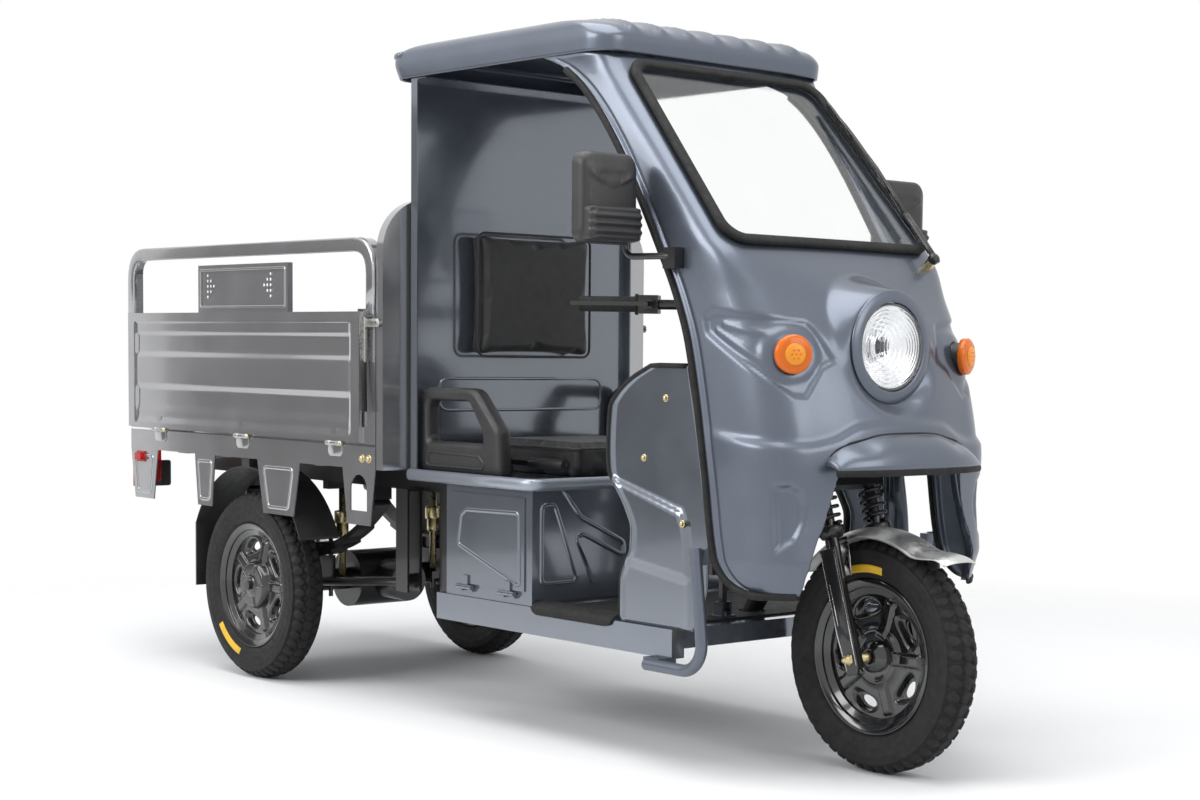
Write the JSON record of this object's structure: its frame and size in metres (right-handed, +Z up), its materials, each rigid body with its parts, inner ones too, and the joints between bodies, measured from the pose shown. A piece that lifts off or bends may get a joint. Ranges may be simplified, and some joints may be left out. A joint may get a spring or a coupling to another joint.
{
  "type": "electric cargo tricycle",
  "caption": "Three-wheeled electric cargo tricycle: half-open cab with roof and screen, handlebar fork in front, and a load bed with drop gates behind.",
  "frame": {"origin": "on the ground under the middle of the overall box", "axes": "+X forward, +Y to the driver's left, +Z up"},
  "size_m": [2.875, 1.044, 1.6383],
  "materials": {
    "cab_paint": "satin metallic",
    "bed_paint": "glossy metallic",
    "black_paint": "semi-gloss",
    "black_plastic": "fine grain",
    "rubber": "matt",
    "tyre": "matt",
    "seat_cover": "grained vinyl",
    "polished": "polished",
    "zinc": "yellow passivated",
    "aluminium": "satin",
    "glass": "clear",
    "amber": "moulded",
    "red_lens": "moulded"
  },
  "bodies": {
    "chassis": {"armrests": "black_plastic", "backrest": "seat_cover", "battery_packs": "black_plastic", "bed_frame": "bed_paint", "bolts": "zinc", "cab_rear_wall": "cab_paint", "chassis_frame": "black_paint", "crash_bars": "cab_paint", "floor_mat": "rubber", "floor_pan": "cab_paint", "front_fairing": "cab_paint", "gate_hinges": "zinc", "headboard": "bed_paint", "headlight_lens": "glass", "headset_bearings": "zinc", "lamp_housings": "black_plastic", "leaf_springs": "black_paint", "leg_shields": "cab_paint", "mirror_arms": "black_paint", "motor_controller": "aluminium", "mudguards": "black_plastic", "rear_lamps": "red_lens", "roof_panel": "cab_paint", "rubber_trims": "rubber", "seat_box": "cab_paint", "seat_cushion": "seat_cover", "shock_absorbers": "zinc", "turn_lenses": "amber", "wheel_visor": "cab_paint", "windscreen": "glass", "wiper_drive": "black_paint"},
    "rear_axle": {"rear_axle": "black_paint"},
    "rear_wheel_left": {"rear_rim_left": "black_paint", "rear_tyre_left": "tyre"},
    "rear_wheel_right": {"rear_rim_right": "black_paint", "rear_tyre_right": "tyre"},
    "steering": {"fork_yokes": "black_paint", "handlebar": "black_paint", "instrument_display": "black_plastic", "control_pods": "black_plastic", "left_grip": "rubber", "fork_springs": "black_paint"},
    "fork_slider": {"fork_legs": "black_paint", "front_mudguard": "polished"},
    "front_wheel": {"front_rim": "black_paint", "front_tyre": "tyre"},
    "throttle": {"throttle_grip": "rubber"},
    "brake_lever": {"brake_lever": "aluminium"},
    "horn_button": {"horn_button": "black_plastic"},
    "gate_right": {"side_gate_right": "bed_paint"},
    "gate_left": {"side_gate_left": "bed_paint"},
    "latch_right": {"gate_latch_right": "zinc"},
    "latch_left": {"gate_latch_left": "zinc"},
    "tailgate": {"tailgate": "bed_paint"},
    "seat_box_door": {"seat_box_door": "cab_paint"},
    "brake_pedal": {"brake_pedal": "black_paint"},
    "parking_lever": {"parking_brake_lever": "black_paint"},
    "mirror_right": {"mirror_right": "black_plastic"},
    "mirror_left": {"mirror_left": "black_plastic"},
    "wiper": {"wiper_arm": "black_paint"}
  },
  "joints": [
    {"name": "rear_suspension", "type": "hinge", "parent": "chassis", "child": "rear_axle", "pos_m": [-0.2325, 0, 0.3], "axis": [0, 1, 0], "range_deg": [0, 4], "stiffness_Nm_per_rad": 30000, "springref_deg": -2.29, "deforming": ["leaf_springs", "shock_absorbers"]},
    {"name": "rear_wheel_right_spin", "type": "hinge", "parent": "rear_axle", "child": "rear_wheel_right", "pos_m": [-0.7725, -0.356, 0.25], "axis": [0, 1, 0], "continuous": true},
    {"name": "rear_wheel_left_spin", "type": "hinge", "parent": "rear_axle", "child": "rear_wheel_left", "pos_m": [-0.7725, 0.356, 0.25], "axis": [0, 1, 0], "continuous": true},
    {"name": "steer", "type": "hinge", "parent": "chassis", "child": "steering", "pos_m": [1.1875, 0, 0.25], "axis": [-0.309, 0, 0.9511], "range_deg": [-18, 18]},
    {"name": "fork_travel", "type": "slide", "parent": "steering", "child": "fork_slider", "axis": [-0.309, 0, 0.9511], "range_m": [0, 0.04], "stiffness_N_per_m": 20000, "springref_m": -0.045, "deforming": ["fork_springs"]},
    {"name": "front_wheel_spin", "type": "hinge", "parent": "fork_slider", "child": "front_wheel", "pos_m": [1.1875, 0, 0.25], "axis": [0, 1, 0], "continuous": true},
    {"name": "throttle_turn", "type": "hinge", "parent": "steering", "child": "throttle", "pos_m": [0.60595, -0.36063, 0.99384], "axis": [-0.7547, -0.6561, 0], "range_deg": [0, 60], "stiffness_Nm_per_rad": 0.4, "springref_deg": -17.19},
    {"name": "brake_lever_pull", "type": "hinge", "parent": "steering", "child": "brake_lever", "pos_m": [0.76315, -0.30613, 0.99384], "axis": [0, 0, -1], "range_deg": [0, 11], "stiffness_Nm_per_rad": 4, "springref_deg": -5.73},
    {"name": "horn_press", "type": "slide", "parent": "steering", "child": "horn_button", "axis": [0, 0, -1], "range_m": [0, 0.003], "stiffness_N_per_m": 400, "springref_m": -0.001},
    {"name": "gate_right_drop", "type": "hinge", "parent": "chassis", "child": "gate_right", "pos_m": [-0.7775, -0.4175, 0.651], "axis": [1, 0, 0], "range_deg": [0, 160]},
    {"name": "latch_right_lift", "type": "hinge", "parent": "gate_right", "child": "latch_right", "pos_m": [-0.1725, -0.422, 0.975], "axis": [-1, 0, 0], "range_deg": [0, 110]},
    {"name": "gate_left_drop", "type": "hinge", "parent": "chassis", "child": "gate_left", "pos_m": [-0.7775, 0.4175, 0.651], "axis": [-1, 0, 0], "range_deg": [0, 160]},
    {"name": "latch_left_lift", "type": "hinge", "parent": "gate_left", "child": "latch_left", "pos_m": [-0.1725, 0.422, 0.975], "axis": [1, 0, 0], "range_deg": [0, 110]},
    {"name": "tailgate_drop", "type": "hinge", "parent": "chassis", "child": "tailgate", "pos_m": [-1.424, 0, 0.651], "axis": [0, -1, 0], "range_deg": [0, 150]},
    {"name": "seat_box_door_drop", "type": "hinge", "parent": "chassis", "child": "seat_box_door", "pos_m": [0.2345, -0.348, 0.327], "axis": [1, 0, 0], "range_deg": [0, 90]},
    {"name": "brake_pedal_press", "type": "hinge", "parent": "chassis", "child": "brake_pedal", "pos_m": [0.8245, -0.13, 0.329], "axis": [0, 1, 0], "range_deg": [0, 18], "stiffness_Nm_per_rad": 30, "springref_deg": -8.59},
    {"name": "parking_lever_pull", "type": "hinge", "parent": "chassis", "child": "parking_lever", "pos_m": [0.1395, -0.222, 0.622], "axis": [0, -1, 0], "range_deg": [0, 45]},
    {"name": "mirror_right_turn", "type": "hinge", "parent": "chassis", "child": "mirror_right", "pos_m": [0.7935, -0.392, 1.115], "axis": [0, 0, 1], "range_deg": [-20, 45]},
    {"name": "mirror_left_turn", "type": "hinge", "parent": "chassis", "child": "mirror_left", "pos_m": [0.7935, 0.392, 1.115], "axis": [0, 0, 1], "range_deg": [-45, 20]},
    {"name": "wiper_sweep", "type": "hinge", "parent": "chassis", "child": "wiper", "pos_m": [1.0525, 0.272, 1.09096], "axis": [0.7366, 0, 0.6763], "range_deg": [0, 85]}
  ]
}
